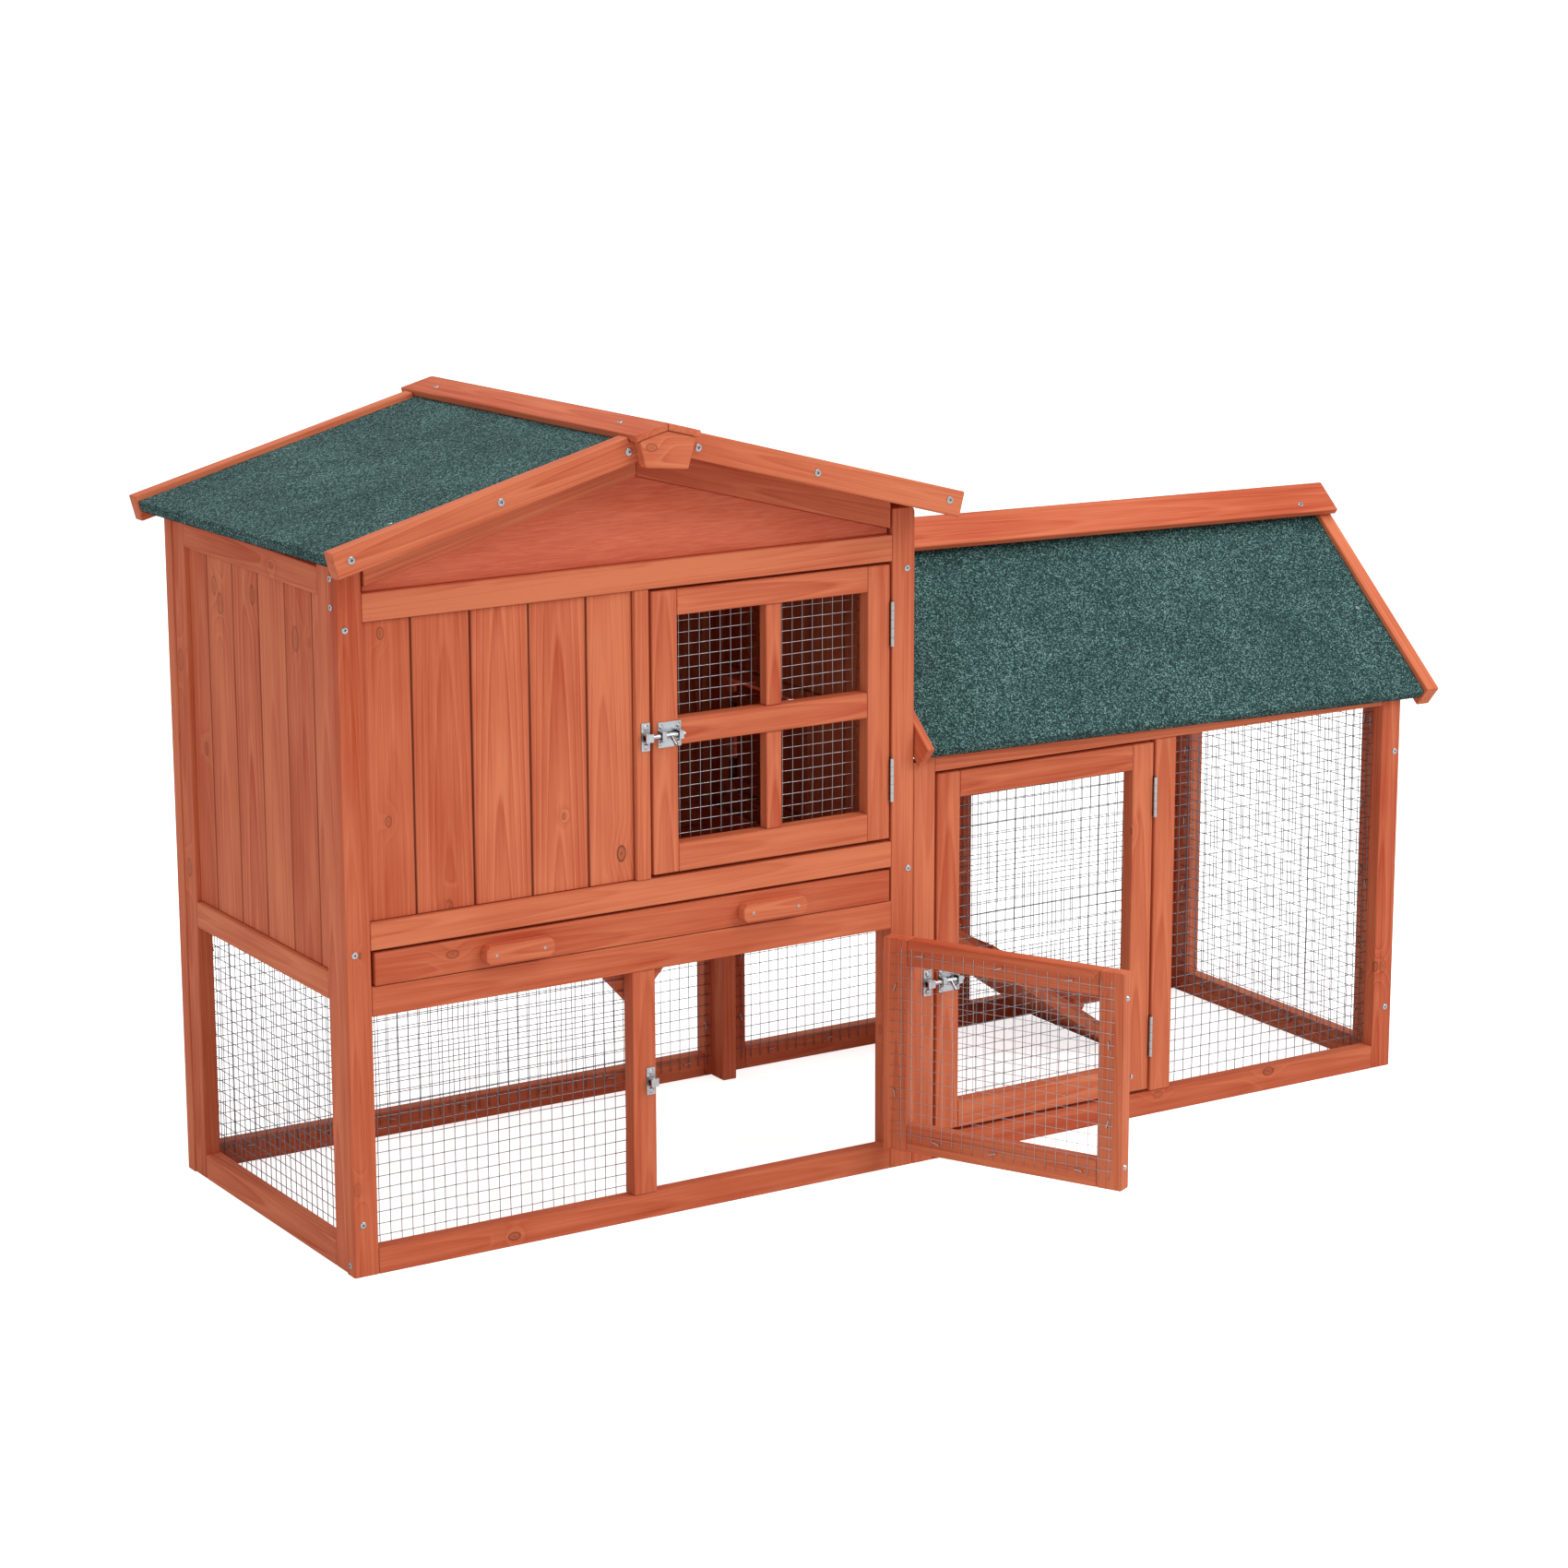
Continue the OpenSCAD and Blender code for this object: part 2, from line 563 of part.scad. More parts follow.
// ---- hinges, keeps and screws on the fixed frame ---------------------------
module fixed_hinge_leaves() color(zinc) place() {
  for (z = concat(upper_hinges, lower_hinges)) fixed_leaf(hx, z);
  for (z = run_hinges) fixed_leaf(rx, z);
  at_pop_hinge() for (z = pop_hinges) fixed_leaf(0, z);
}
module bolt_keeps() color(zinc) place()
  for (at = [upper_bolt_at, lower_bolt_at, run_bolt_at]) keep(at);
module frame_screws() color(zinc) place() {
  for (p = [[10.7, 56.2], [10.3, 342.3], [9.2, 675.2], [674.2, 671.8], [676.6, 340.1],
      [1362.3, 386.2], [1359.8, 73.8]])
    head_y(p[0], 0, p[1]);
  leaned() for (p = [[-7.2, 750.6], [158.2, 793.7], [303.5, 832.6], [384.6, 831.4],
      [528.5, 793.6], [693, 751.9]])
    head_y(p[0], barge_y[0], p[1], 4);
  for (p = [[8.7, 11.8], [11.7, 697.4], [11.9, 725.9]]) head_x(0, p[0], p[1]);
  for (z = [12, 700, 726]) head_x(0, 409, z);
}

// ---- upper door ------------------------------------------------------------
muntin = [498, 517];
crossbar = [513, 541];
module upper_door_frame() color(wood) place() door_frame(upper_door, upper_bars);
module upper_door_muntins() color(wood) place() {
  x = [upper_door[0] + upper_bars[0] + g, upper_door[1] - upper_bars[1] - g];
  z = [upper_door[2] + upper_bars[2] + g, upper_door[3] - upper_bars[3] - g];
  box(x[0], x[1], 0.4, stock - 0.4, crossbar[0], crossbar[1]);
  box(muntin[0], muntin[1], 2, stock - 2, z[0], crossbar[0] - g);
  box(muntin[0], muntin[1], 2, stock - 2, crossbar[1] + g, z[1]);
}
module upper_door_mesh() color(zinc) place() door_mesh(upper_door, upper_bars, 413.5, 399.3);
module upper_door_hinges() color(zinc) place() for (z = upper_hinges) door_leaf(hx, z);
module upper_bolt_plate() color(zinc) place() bolt_plate(upper_bolt_at);
module upper_bolt() color(zinc) place() bolt_rod(upper_bolt_at);

// ---- lower door (open) -------------------------------------------------------
module lower_door_frame() color(wood) place() swung() door_frame(lower_door, lower_bars);
module lower_door_mesh() color(zinc) place() swung() door_mesh(lower_door, lower_bars, 375.2, 52, 19.5);
module lower_door_hinges() color(zinc) place() swung() for (z = lower_hinges) door_leaf(hx, z);
module lower_bolt_plate() color(zinc) place() swung() {
  bolt_plate(lower_bolt_at);
  for (z = [56, 243]) head_x(lower_door[0], 9, z);
}
module lower_bolt() color(zinc) place() swung() translate([drawn, 0, 0]) bolt_rod(lower_bolt_at);

// ---- run door ---------------------------------------------------------------
module run_door_frame() color(wood) place() door_frame(run_door, run_bars);
module run_door_mesh() color(zinc) place() door_mesh(run_door, run_bars, 757, 52);
module run_door_hinges() color(zinc) place() for (z = run_hinges) door_leaf(rx, z);
module run_bolt_plate() color(zinc) place() bolt_plate(run_bolt_at);
module run_bolt() color(zinc) place() bolt_rod(run_bolt_at);

// ---- tray -------------------------------------------------------------------
module tray_front() color(wood) place() box(32, 653.2, 0, tray_y[0], tray_z, 341);
module tray_pan() color(inner_wood) place() {
  side_z = [tray_z + tray_t + g, 338];
  box(tray_x[0], tray_x[1], tray_y[0], tray_y[1], tray_z, tray_z + tray_t);
  for (x = [tray_x[0], tray_x[1] - tray_t])
    box(x, x + tray_t, tray_y[0], tray_y[1], side_z[0], side_z[1]);
  box(tray_x[0] + tray_t + g, tray_x[1] - tray_t - g, tray_y[1] - tray_t, tray_y[1],
    side_z[0], side_z[1]);
}
// wooden pull with its corners cut off
pull = [80, 13, 20];
pull_cut = 5;
module handle(x) {
  z = 312;
  along_y(-pull[1], 0, [[x, z + pull_cut], [x + pull_cut, z], [x + pull[0] - pull_cut, z],
    [x + pull[0], z + pull_cut], [x + pull[0], z + pull[2] - pull_cut],
    [x + pull[0] - pull_cut, z + pull[2]], [x + pull_cut, z + pull[2]],
    [x, z + pull[2] - pull_cut]]);
}
module tray_handles() color(wood) place() { handle(152); handle(460); }

house_front_posts();
house_front_rails();
house_front_boards();
house_door_jamb();
house_middle_post();
house_corner_gusset();
house_gable_panels();
house_gable_rafters();
house_front_mesh();
house_left_frame();
house_left_boards();
house_left_mesh();
house_back_frame();
house_back_boards();
house_back_mesh();
house_right_frame();
house_right_boards();
tray_runners();
house_roof_boards();
house_roof_felt();
house_bargeboards();
house_ridge_cap();
house_finials();
run_front_frame();
run_front_mesh();
run_right_frame();
run_right_mesh();
run_right_gable();
run_back_frame();
run_back_mesh();
run_roof_boards();
run_roof_felt();
run_bargeboards();
run_ridge_cap();
ramp_board();
ramp_treads();
fixed_hinge_leaves();
bolt_keeps();
frame_screws();
upper_door_frame();
upper_door_muntins();
upper_door_mesh();
upper_door_hinges();
upper_bolt_plate();
upper_bolt();
lower_door_frame();
lower_door_mesh();
lower_door_hinges();
lower_bolt_plate();
lower_bolt();
run_door_frame();
run_door_mesh();
run_door_hinges();
run_bolt_plate();
run_bolt();
pop_door_board();
pop_door_hinges();
tray_front();
tray_pan();
tray_handles();
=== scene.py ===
"""Looks of a two-storey rabbit hutch with an attached wire run: stained fir battens and boards,
mineral roofing felt, galvanised welded mesh with staples, zinc hinges, bolts and screws."""

import json
import math
import random

import bmesh
import bpy
from mathutils import Matrix, Vector, noise

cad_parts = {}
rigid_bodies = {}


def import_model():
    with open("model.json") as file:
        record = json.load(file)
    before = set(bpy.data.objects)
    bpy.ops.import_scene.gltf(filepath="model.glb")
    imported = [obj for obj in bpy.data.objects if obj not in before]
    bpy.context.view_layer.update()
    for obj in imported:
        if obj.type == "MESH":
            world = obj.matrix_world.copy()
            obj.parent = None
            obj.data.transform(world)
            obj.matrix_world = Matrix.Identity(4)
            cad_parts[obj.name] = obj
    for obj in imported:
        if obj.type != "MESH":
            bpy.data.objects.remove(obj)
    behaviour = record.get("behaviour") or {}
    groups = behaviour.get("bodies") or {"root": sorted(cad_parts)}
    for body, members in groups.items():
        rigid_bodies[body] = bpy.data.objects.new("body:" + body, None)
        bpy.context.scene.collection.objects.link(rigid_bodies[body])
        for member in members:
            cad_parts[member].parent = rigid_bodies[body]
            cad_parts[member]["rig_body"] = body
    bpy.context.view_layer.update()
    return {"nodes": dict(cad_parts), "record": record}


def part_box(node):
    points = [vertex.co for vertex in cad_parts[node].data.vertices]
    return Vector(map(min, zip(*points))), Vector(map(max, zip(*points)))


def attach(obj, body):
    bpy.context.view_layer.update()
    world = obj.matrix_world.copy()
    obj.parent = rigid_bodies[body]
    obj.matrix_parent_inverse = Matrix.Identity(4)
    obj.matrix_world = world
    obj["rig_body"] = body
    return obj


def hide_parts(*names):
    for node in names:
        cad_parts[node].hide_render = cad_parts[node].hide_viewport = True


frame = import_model()
NODES = frame["nodes"]
NODE_BODY = {n: o["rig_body"] for n, o in NODES.items()}
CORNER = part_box("house_front_posts")[0]
# CAD points closer than this are one point
WELD = 0.000004
# faces that turn by less than this are one flat face, and edges that turn by more are corners
FLAT_TURN, CORNER_TURN = 0.02, 0.35
# how many knots one piece of timber can show
KNOT_SLOTS = 2


def at(x, y, z):
    """A point given in millimetres from the house's front left bottom corner."""
    return CORNER + Vector((x, y, z)) / 1000


# the lower door stands open by this turn about its hinge
OPEN = math.radians(117)
HINGE = at(654, -2.2, 0)
SWUNG = Matrix.Translation(HINGE) @ Matrix.Rotation(OPEN, 4, "Z") @ Matrix.Translation(-HINGE)
# the house roof leans down towards the back and right, about a point in the front gable
GABLE = at(342, 12.5, 800)
LEAN = (Matrix.Translation(GABLE) @ Matrix.Rotation(math.radians(0.37), 4, "Y")
        @ Matrix.Rotation(math.radians(-1.24), 4, "X") @ Matrix.Translation(-GABLE))


# ---- materials ---------------------------------------------------------------------------


def new_material(name):
    """A material, its node tree and its shader."""
    m = bpy.data.materials.new(name)
    m.use_nodes = True
    t = m.node_tree
    return m, t, t.nodes["Principled BSDF"]


def node(t, kind, **values):
    """A node with its inputs set by name or number, and its properties by keyword."""
    n = t.nodes.new(kind)
    for key, value in values.items():
        if key == "inputs":
            for socket, v in value.items():
                if isinstance(v, bpy.types.NodeSocket):
                    t.links.new(v, n.inputs[socket])
                else:
                    n.inputs[socket].default_value = v
        else:
            setattr(n, key, value)
    return n


def math_node(t, operation, a, b=None, c=None):
    """The result of a sum on numbers or sockets."""
    ins = {i: v for i, v in enumerate((a, b, c)) if v is not None}
    return node(t, "ShaderNodeMath", operation=operation, inputs=ins).outputs[0]


def vector_math(t, operation, *values):
    return node(t, "ShaderNodeVectorMath", operation=operation,
                inputs=dict(enumerate(values))).outputs["Vector"]


def attribute(t, name):
    return node(t, "ShaderNodeAttribute", attribute_name=name).outputs["Vector"]


def split(t, vector):
    """The three parts of a vector."""
    return node(t, "ShaderNodeSeparateXYZ", inputs={0: vector}).outputs


def fade(t, value, reach):
    """1 at value 0, falling smoothly to 0 at reach."""
    return node(t, "ShaderNodeMapRange", interpolation_type="SMOOTHSTEP", inputs={
        "Value": value, "From Min": 0.0, "From Max": reach, "To Min": 1.0, "To Max": 0.0,
    }).outputs[0]


def ramp(t, value, stops):
    """A colour ramp. A stop is its place and its colour, or one number for a grey."""
    n = node(t, "ShaderNodeValToRGB", inputs={"Fac": value})
    e = n.color_ramp.elements
    while len(e) < len(stops):
        e.new(0.5)
    for i, (place, colour) in enumerate(stops):
        e[i].position = place
        e[i].color = (*(colour if isinstance(colour, tuple) else (colour,) * 3), 1)
    return n.outputs["Color"]


def mix(t, factor, a, b):
    """From colour a to colour b as the factor goes from 0 to 1."""
    n = node(t, "ShaderNodeMix", data_type="RGBA")
    for socket, v in ((0, factor), (6, a), (7, b)):
        if isinstance(v, bpy.types.NodeSocket):
            t.links.new(v, n.inputs[socket])
        else:
            n.inputs[socket].default_value = v if socket == 0 else (*v, 1)
    return n.outputs[2]


def bump(t, shader, height, strength, distance):
    normal = node(t, "ShaderNodeBump", inputs={
        "Height": height, "Strength": strength, "Distance": distance}).outputs[0]
    t.links.new(normal, shader.inputs["Normal"])


# knots that show on the timber: place, radius in millimetres, darkness
KNOTS = [
    (at(50, 5.5, 667), 4.5, 0.7), (at(54, 5.5, 474), 4.0, 0.7), (at(254, 5.5, 453), 2.5, 0.8),
    (at(322, 5.5, 404), 6.0, 1.0), (at(120, 5.5, 376), 5.0, 0.6), (at(7, 294, 655), 8.0, 0.55),
    (at(7, 308, 672), 7.0, 0.5), (at(7, 213, 677), 7.0, 0.6), (at(7, 111, 648), 9.0, 0.5),
    (at(7, 79, 649), 3.5, 0.5), (at(7, 342, 490), 5.0, 0.8), (at(7, 301, 422), 4.0, 0.8),
    (at(7, 104, 444), 5.0, 0.45), (at(7, 269, 411), 5.0, 0.3), (at(1.5, 153, 718), 4.0, 0.6),
    (at(1.5, 369, 78), 8.0, 0.9), (at(1.5, 387, 350), 7.0, 0.5), (at(1.5, 390, 579), 8.0, 0.4),
    (at(1.5, 366, 320), 5.0, 0.9), (at(6, 0, 95), 5.0, 0.35), (at(16, 0, 341), 2.2, 1.0),
    (at(323, -64, 839), 4.5, 0.7), (SWUNG @ at(390, 18, 264), 4.0, 0.5),
    (at(120, 0, 327), 5.0, 0.7), (at(1343.5, 0, 126), 4.5, 0.8), (at(1355, 0, 125), 5.5, 0.5),
    (at(1185.5, 0, 23), 5.5, 0.9), (at(1024, 0, 22), 4.5, 0.5), (at(978.5, 1.5, 340), 3.5, 0.6),
    (at(185, 0, 11), 5.0, 0.9),
]
# how dark the painted shade is along the edges of the boards of these nodes, where their seams lie in
# shade
SEAM_SHADE = {"house_front_boards": 0.95, "house_left_boards": 0.6, "house_back_boards": 0.8,
         "house_right_boards": 0.8, "house_roof_boards": 0.6, "run_roof_boards": 0.6,
         "pop_door_board": 0.5}
# how dark and how strongly figured the timber of some nodes is, in the order of its pieces
TONES = {
    "house_front_boards": [(0.8, 0.3), (0.7, 0.5), (0.45, 1.0), (0.5, 0.9), (0.15, 0.7)],
    "house_front_posts": [(0.75, 0.4), (0.5, 0.4)],
    "house_front_rails": [(0.6, 0.4), (0.6, 0.4), (0.25, 0.5), (0.0, 0.6)],
    "house_door_jamb": [(0.2, 0.6)],
}


# the growth rings' spacing, in metres, and how far behind the face their pith lies
RING, PITH = 0.0046, 0.009
# the knots' own colour, and the colour of the painted shade at the seams
KNOT_COLOUR, SEAM_SHADE_COLOUR = (0.115, 0.028, 0.013), (0.12, 0.022, 0.009)
# how far the painted shade reaches in from a seam, in metres
SEAM_SHADE_REACH = 0.0022


def knot_looks(t, grain):
    """How dark each point is with a knot's heart or ring, and how far the grain bends round it."""
    heart, swirl = 0.0, 0.0
    for slot in range(KNOT_SLOTS):
        radius, dark, _ = split(t, attribute(t, f"knot{slot}_kind"))
        off = vector_math(t, "SUBTRACT", grain, attribute(t, f"knot{slot}"))
        off = vector_math(t, "MULTIPLY", off, (0.6, 1.0, 1.0))
        far = node(t, "ShaderNodeVectorMath", operation="LENGTH", inputs={0: off}).outputs["Value"]
        far = math_node(t, "DIVIDE", far, radius)
        near = ramp(t, far, [(0.0, 1.0), (0.2, 0.35), (0.6, 0.3), (0.82, 0.9), (1.0, 0.0)])
        heart = math_node(t, "MAXIMUM", heart, math_node(t, "MULTIPLY", near, dark))
        swirl = math_node(t, "ADD", swirl, fade(t, far, 4.0))
    return heart, swirl


def growth_rings(t, grain, tone, wander, swirl):
    """Pale early and dark late wood, about 0, in rings round a pith behind the face."""
    x, y, z = split(t, grain)
    across = math_node(t, "MULTIPLY_ADD", wander, 0.006, y)
    across = math_node(t, "MULTIPLY_ADD", tone, 0.024, math_node(t, "SUBTRACT", across, 0.012))
    deep = math_node(t, "MULTIPLY_ADD", tone, 0.022, z)
    deep = math_node(t, "MULTIPLY_ADD", x, 0.022, math_node(t, "ADD", deep, PITH))
    radius = math_node(t, "SQRT", math_node(
        t, "ADD", math_node(t, "POWER", across, 2.0), math_node(t, "POWER", deep, 2.0)))
    radius = math_node(t, "MULTIPLY_ADD", swirl, 0.006, radius)
    phase = math_node(t, "FRACT", math_node(t, "DIVIDE", radius, RING))
    late = ramp(t, phase, [(0.0, 0.35), (0.10, 0.0), (0.22, 0.42), (0.75, 0.62), (0.95, 1.0),
                           (1.0, 0.5)])
    return math_node(t, "SUBTRACT", late, 0.5)


def seam_shade_mask(t, grain, half):
    """Where painted shade falls: 1 at the edges of a face, fading to 0 a little way in."""
    inset = vector_math(t, "SUBTRACT", half, vector_math(t, "ABSOLUTE", grain))
    x, y, z = split(t, inset)
    edge = math_node(t, "MINIMUM", math_node(t, "MAXIMUM", x, y), z)
    edge = math_node(t, "MAXIMUM", edge, math_node(t, "MINIMUM", x, y))
    return fade(t, edge, SEAM_SHADE_REACH)


def wood_material(name, light, dark, figure=1.0, fibre=(12.0, 900.0, 0.7)):
    """Stained softwood. Figure is the strength of its rings and streaks.

    Fibre is how many fine fibres there are in a metre along and across, and their strength. The
    attributes are set by timber(): grain is a point's place along, across and through its piece,
    half is the piece's half size, and board is its tone, how figured it is, and how dark the
    painted shade at its seams is.
    """
    m, t, shader = new_material(name)
    grain = attribute(t, "grain")
    tone, figured, seam_shaded = split(t, attribute(t, "board"))
    drift = vector_math(t, "MULTIPLY", tone, (41.0, 17.0, 29.0))

    def drawn_out(along, across, detail, rough=0.5):
        """Noise with so many features a metre along and across the grain, about its mean."""
        where = vector_math(t, "MULTIPLY_ADD", grain, (along, across, across), drift)
        fac = node(t, "ShaderNodeTexNoise", inputs={
            "Vector": where, "Scale": 1.0, "Detail": detail, "Roughness": rough}).outputs["Fac"]
        return math_node(t, "SUBTRACT", fac, 0.5)

    heart, swirl = knot_looks(t, grain)
    wander = drawn_out(2.2, 14.0, 2.0)
    late = math_node(t, "MULTIPLY", growth_rings(t, grain, tone, wander, swirl), figured)
    fine = drawn_out(fibre[0], fibre[1], 3.0, 0.6)
    streak = drawn_out(1.6, 150.0, 3.0, 0.6)
    blotch = drawn_out(6.0, 26.0, 2.0)

    share = 0.36
    for part, strength in ((late, 0.62 * figure), (streak, figure), (fine, fibre[2]),
                           (blotch, 0.9), (math_node(t, "SUBTRACT", tone, 0.5), 0.6)):
        share = math_node(t, "MULTIPLY_ADD", part, strength, share)
    share = node(t, "ShaderNodeClamp", inputs={0: share}).outputs[0]
    colour = mix(t, share, light, dark)
    colour = mix(t, heart, colour, KNOT_COLOUR)
    # painted shade: the colour darkens at the edges of each board, where its seam lies in shade
    rim = math_node(t, "MULTIPLY", seam_shade_mask(t, grain, attribute(t, "half")), seam_shaded)
    colour = mix(t, rim, colour, SEAM_SHADE_COLOUR)
    t.links.new(colour, shader.inputs["Base Color"])
    rough = node(t, "ShaderNodeMapRange", inputs={
        "Value": fine, "From Min": -0.3, "From Max": 0.3, "To Min": 0.52, "To Max": 0.68})
    t.links.new(rough.outputs[0], shader.inputs["Roughness"])
    shader.inputs["Specular IOR Level"].default_value = 0.2
    height = math_node(t, "MULTIPLY_ADD", late, -0.3 * figure, fine)
    bump(t, shader, height, 0.25, 0.0004)
    return m


def felt_material():
    """Green mineral granules on bitumen."""
    m, t, shader = new_material("mineral_felt")
    place = node(t, "ShaderNodeTexCoord").outputs["Object"]
    grit = node(t, "ShaderNodeTexVoronoi", inputs={"Vector": place, "Scale": 820.0})
    cell = node(t, "ShaderNodeSeparateColor", inputs={0: grit.outputs["Color"]}).outputs[0]
    clump = node(t, "ShaderNodeTexNoise", inputs={
        "Vector": place, "Scale": 620.0, "Detail": 1.0, "Roughness": 0.6}).outputs["Fac"]
    wide = node(t, "ShaderNodeTexNoise", inputs={
        "Vector": place, "Scale": 12.0, "Detail": 2.0}).outputs["Fac"]
    value = math_node(t, "MULTIPLY_ADD", math_node(t, "SUBTRACT", clump, 0.5), 0.6, cell)
    value = math_node(t, "MULTIPLY_ADD", math_node(t, "SUBTRACT", wide, 0.5), 0.25, value)
    colour = ramp(t, value, [(0.0, (0.004, 0.014, 0.015)), (0.42, (0.013, 0.045, 0.044)),
                             (0.74, (0.036, 0.104, 0.100)), (1.0, (0.21, 0.36, 0.34))])
    t.links.new(colour, shader.inputs["Base Color"])
    shader.inputs["Roughness"].default_value = 0.85
    shader.inputs["Specular IOR Level"].default_value = 0.25
    bump(t, shader, value, 0.7, 0.0011)
    return m


def metal_material(name, colour, rough, mottle, shade_reach=0.0):
    """Plated steel: cloudy by the share mottle, with painted shade darkening its crevices up to that
    size in metres.
    """
    m, t, shader = new_material(name)
    shader.inputs["Metallic"].default_value = 1.0
    shader.inputs["Roughness"].default_value = rough
    place = node(t, "ShaderNodeTexCoord").outputs["Object"]
    cloud = node(t, "ShaderNodeTexNoise", inputs={
        "Vector": place, "Scale": 160.0, "Detail": 3.0}).outputs["Fac"]
    dull = tuple(c * (1 - mottle) for c in colour)
    tint_and_shade = mix(t, cloud, dull, colour)
    if shade_reach:
        # painted shade: ambient occlusion darkens the colour in crevices and corners, where shade
        # falls
        open_air = node(t, "ShaderNodeAmbientOcclusion", samples=8,
                        inputs={"Distance": shade_reach}).outputs["AO"]
        painted_shade = math_node(t, "POWER", math_node(t, "SUBTRACT", 1.0, open_air), 0.8)
        tint_and_shade = mix(t, painted_shade, tint_and_shade, tuple(c * 0.12 for c in colour))
    t.links.new(tint_and_shade, shader.inputs["Base Color"])
    return m


WOOD = wood_material("stained_fir", (0.70, 0.200, 0.091), (0.43, 0.052, 0.016))
PLY = wood_material("stained_ply", (0.75, 0.192, 0.102), (0.50, 0.080, 0.033), figure=0.08,
                    fibre=(45.0, 1100.0, 1.5))
FELT = felt_material()
WIRE = metal_material("galvanised_wire", (0.25, 0.26, 0.29), 0.35, 0.3)
BRIGHT_WIRE = metal_material("bright_wire", (0.62, 0.63, 0.65), 0.3, 0.3)
# zinc, with painted shade in its crevices up to 6 mm
ZINC = metal_material("zinc_plate", (0.68, 0.71, 0.74), 0.24, 0.3, shade_reach=0.006)
# a dark colour for the screws' cross recesses: painted shade
RECESS_SHADE = metal_material("screw_recess_shade", (0.10, 0.12, 0.15), 0.5, 0.3)
LOOK = {"wood": WOOD, "ply": PLY, "pan": PLY, "felt": FELT, "wire": WIRE, "zinc": ZINC}
SLOTS = {s["node"]: s["material_slot"] for s in frame["record"]["subparts"]}


# ---- from the CAD pieces -------------------------------------------------------------------


def cad_pieces(name):
    """Each closed piece of a CAD node, as a mesh that the caller frees."""
    whole = bmesh.new()
    whole.from_mesh(NODES[name].data)
    bmesh.ops.remove_doubles(whole, verts=whole.verts, dist=WELD)
    whole.verts.ensure_lookup_table()
    seen, groups = set(), []
    for start in whole.verts:
        if start in seen:
            continue
        group, todo = [], [start]
        seen.add(start)
        while todo:
            v = todo.pop()
            group.append(v)
            for e in v.link_edges:
                w = e.other_vert(v)
                if w not in seen:
                    seen.add(w)
                    todo.append(w)
        groups.append(sorted(group, key=lambda v: v.index))
    for group in groups:
        piece = bmesh.new()
        made = {v: piece.verts.new(v.co) for v in group}
        for f in sorted({f for v in group for f in v.link_faces}, key=lambda f: f.index):
            piece.faces.new([made[v] for v in f.verts])
        yield piece
    whole.free()


def mesh_object(name, points, faces, material, smooth=True):
    """A new object in the scene, with one material."""
    mesh = bpy.data.meshes.new(name)
    mesh.from_pydata([tuple(p) for p in points], [], faces)
    mesh.materials.append(material)
    mesh.polygons.foreach_set("use_smooth", [smooth] * len(mesh.polygons))
    obj = bpy.data.objects.new(name, mesh)
    bpy.context.scene.collection.objects.link(obj)
    return obj


def weighted(obj):
    """Keeps the flat faces flat to the eye between their eased edges."""
    mod = obj.modifiers.new("normals", "WEIGHTED_NORMAL")
    mod.keep_sharp = True


def stands_for(obj, name):
    """The object rides on the CAD node's body in the node's place, and the node is hidden."""
    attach(obj, NODE_BODY[name])
    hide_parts(name)


def corner_edges(piece):
    return [e for e in piece.edges if e.is_manifold and e.calc_face_angle(0) > CORNER_TURN]


def merge_flat(piece):
    bmesh.ops.dissolve_limit(piece, angle_limit=FLAT_TURN, verts=piece.verts, edges=piece.edges)


def ease(piece, edges, width):
    """Rounds the edges over."""
    bmesh.ops.bevel(piece, geom=edges, offset=width, segments=2, profile=0.5, affect="EDGES",
                    clamp_overlap=True)


def add_piece(points, faces, piece):
    """Adds a piece's points and faces to a mesh in the making, and frees it."""
    base = len(points)
    piece.verts.index_update()
    points += [v.co.copy() for v in piece.verts]
    faces += [[base + v.index for v in f.verts] for f in piece.faces]
    piece.free()


def grain_frame(piece):
    """Along the longest edge, through the largest face, and across."""
    longest = max(corner_edges(piece), key=lambda e: e.calc_length())
    along = (longest.verts[1].co - longest.verts[0].co).normalized()
    wide = max(piece.faces, key=lambda f: f.calc_area())
    through = wide.normal.normalized()
    through = (through - along * through.dot(along)).normalized()
    return along, through.cross(along), through


# timber that is hardly seen gets knots by chance
HIDDEN = ("house_back_boards", "house_back_frame", "house_right_boards", "house_right_frame",
          "run_back_frame", "house_roof_boards", "run_roof_boards", "run_right_frame")


def knots_of(name, piece, rng, to_grain):
    """The knots of one board, in its own grain: those listed, else a chance one."""
    low = Vector([min(v.co[i] for v in piece.verts) for i in range(3)])
    high = Vector([max(v.co[i] for v in piece.verts) for i in range(3)])
    found = []
    for place, radius, dark in KNOTS:
        if all(low[i] - 0.002 < place[i] < high[i] + 0.002 for i in range(3)):
            found.append((to_grain(place), radius / 1000, dark))
    if not found and name in HIDDEN and rng.random() < 0.5:
        face = max(piece.faces, key=lambda f: f.calc_area())
        spot = face.calc_center_median().lerp(rng.choice(face.verts).co, rng.uniform(0.1, 0.7))
        found.append((to_grain(spot), rng.uniform(0.003, 0.007), rng.uniform(0.3, 0.8)))
    nowhere = (Vector((9, 9, 9)), 0.001, 0.0)
    return (found + [nowhere] * KNOT_SLOTS)[:KNOT_SLOTS]


# how far the edges of battens and boards, and of felt, are rounded, in metres
EASED, FELT_EASED = 0.0013, 0.0018
# how dark the painted shade along the edges is on timber that the seam table doesn't name
FAINT_SEAM_SHADE = 0.12


